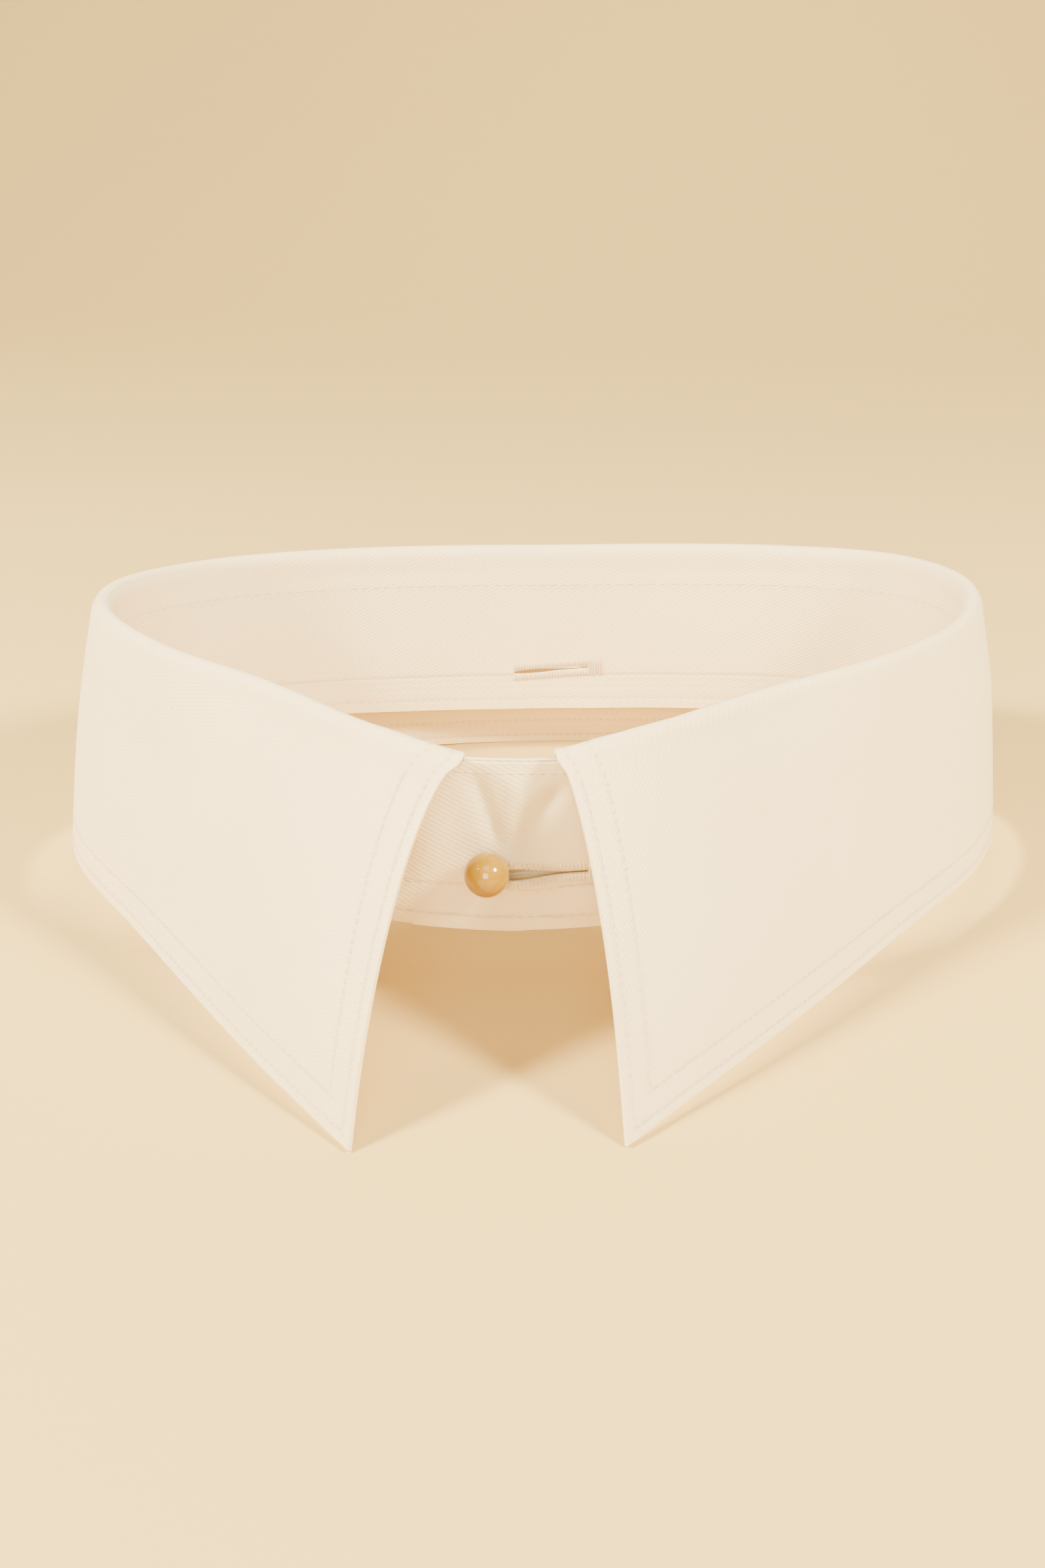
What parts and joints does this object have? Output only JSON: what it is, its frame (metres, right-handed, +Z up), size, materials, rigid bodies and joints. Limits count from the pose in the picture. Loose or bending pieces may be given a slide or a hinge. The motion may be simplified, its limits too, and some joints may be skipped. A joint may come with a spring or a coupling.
{
  "type": "detachable shirt collar with a ball stud",
  "caption": "Detachable turn-down shirt collar in starched cotton, closed at the front with a ball stud and standing by itself.",
  "frame": {"origin": "under the middle of the collar's outer box, on the surface that it stands on", "axes": "+X to the right as seen from the front, -Y to the front where the points are, +Z up"},
  "size_m": [0.159, 0.147, 0.0497],
  "materials": {
    "leaf_cotton": "starched off-white cotton, fine weave, matt",
    "stand_cotton": "starched off-white cotton, fine weave, matt",
    "amber_plastic": "honey amber, polished"
  },
  "bodies": {
    "root": {"leaf": "leaf_cotton", "stand": "stand_cotton", "stud": "amber_plastic"}
  },
  "joints": []
}
